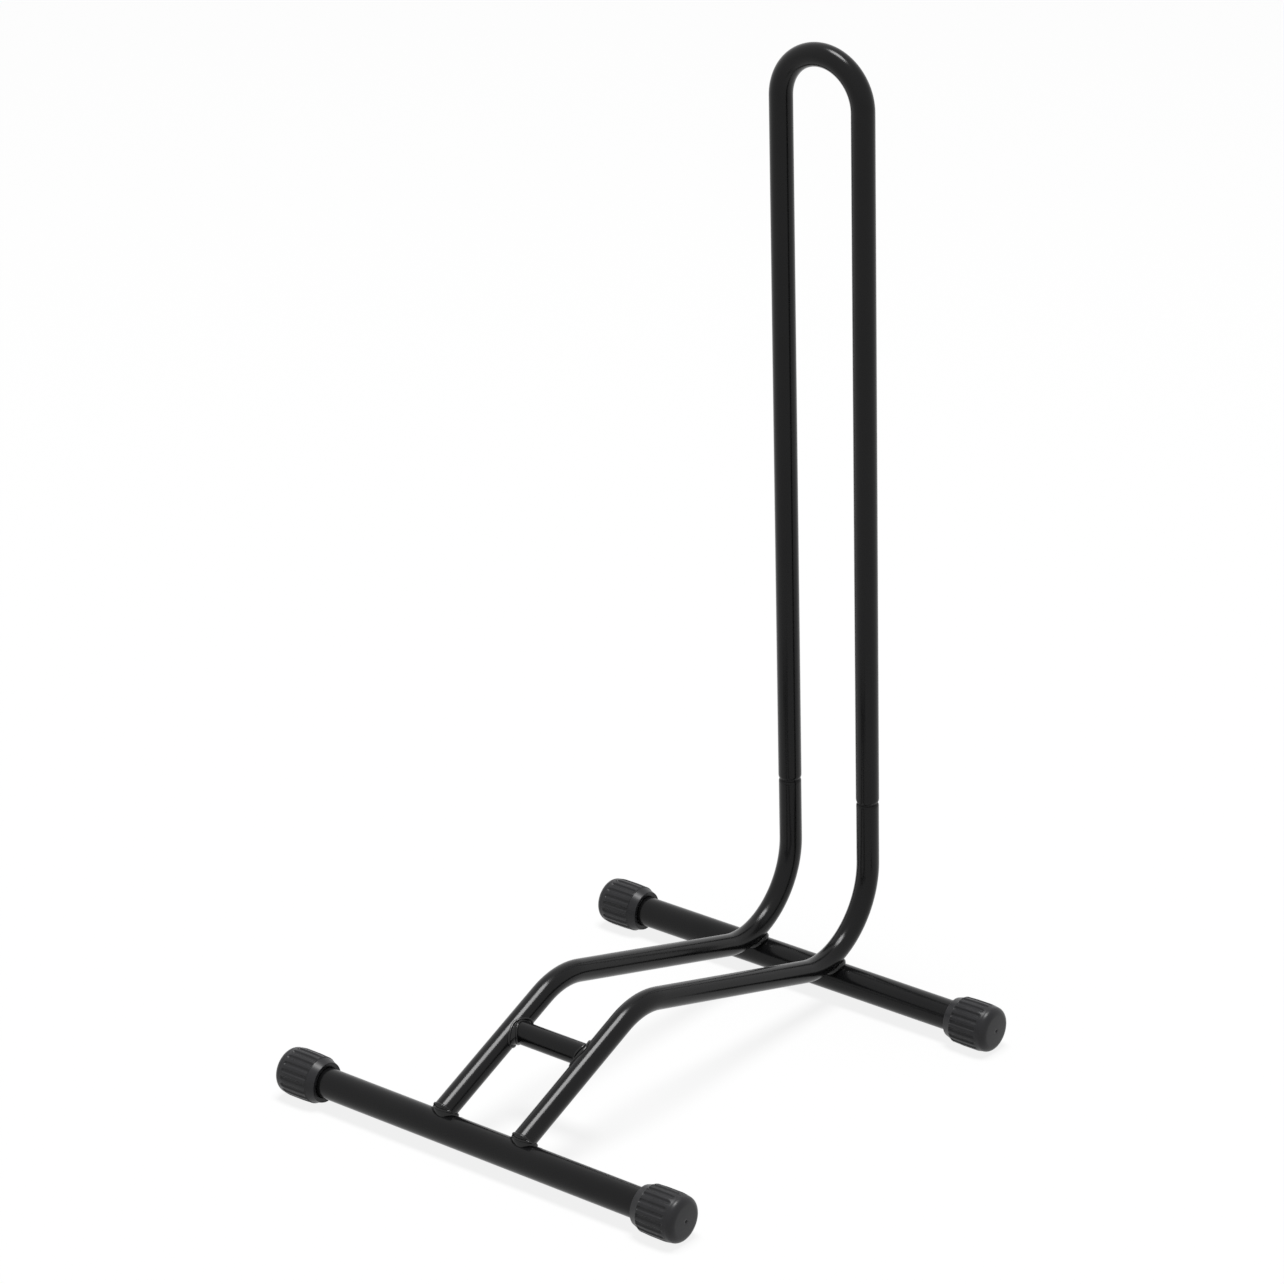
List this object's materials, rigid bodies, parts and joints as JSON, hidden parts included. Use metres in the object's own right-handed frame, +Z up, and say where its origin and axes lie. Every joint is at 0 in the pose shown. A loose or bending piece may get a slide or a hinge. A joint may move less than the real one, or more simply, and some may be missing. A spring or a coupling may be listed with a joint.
{
  "type": "floor bike rack",
  "caption": "Free-standing floor stand of black bent steel tube that holds one bicycle wheel upright, with ribbed end caps and a tall slip-on wheel hoop.",
  "frame": {"origin": "on the floor, in the middle of the footprint", "axes": "+Z up, +Y from the wheel entry to the hoop, +X across the stand, to the right when the hoop is seen from the entry"},
  "size_m": [0.409, 0.4834, 0.8165],
  "materials": {
    "black_coat": "semi-gloss black powder coat",
    "black_plastic": "satin moulded black plastic"
  },
  "bodies": {
    "base": {"front_cross_tube": "black_coat", "rear_cross_tube": "black_coat", "tie_tube": "black_coat", "left_rail": "black_coat", "right_rail": "black_coat", "weld_front_left": "black_coat", "weld_front_right": "black_coat", "weld_tie_left": "black_coat", "weld_tie_right": "black_coat", "weld_rear_left": "black_coat", "weld_rear_right": "black_coat", "front_left_cap": "black_plastic", "front_right_cap": "black_plastic", "rear_left_cap": "black_plastic", "rear_right_cap": "black_plastic"},
    "hoop": {"hoop": "black_coat"}
  },
  "joints": [
    {"name": "hoop_lift", "type": "slide", "parent": "base", "child": "hoop", "axis": [0, -0.0384, 0.9993], "range_m": [0, 0.06]}
  ]
}
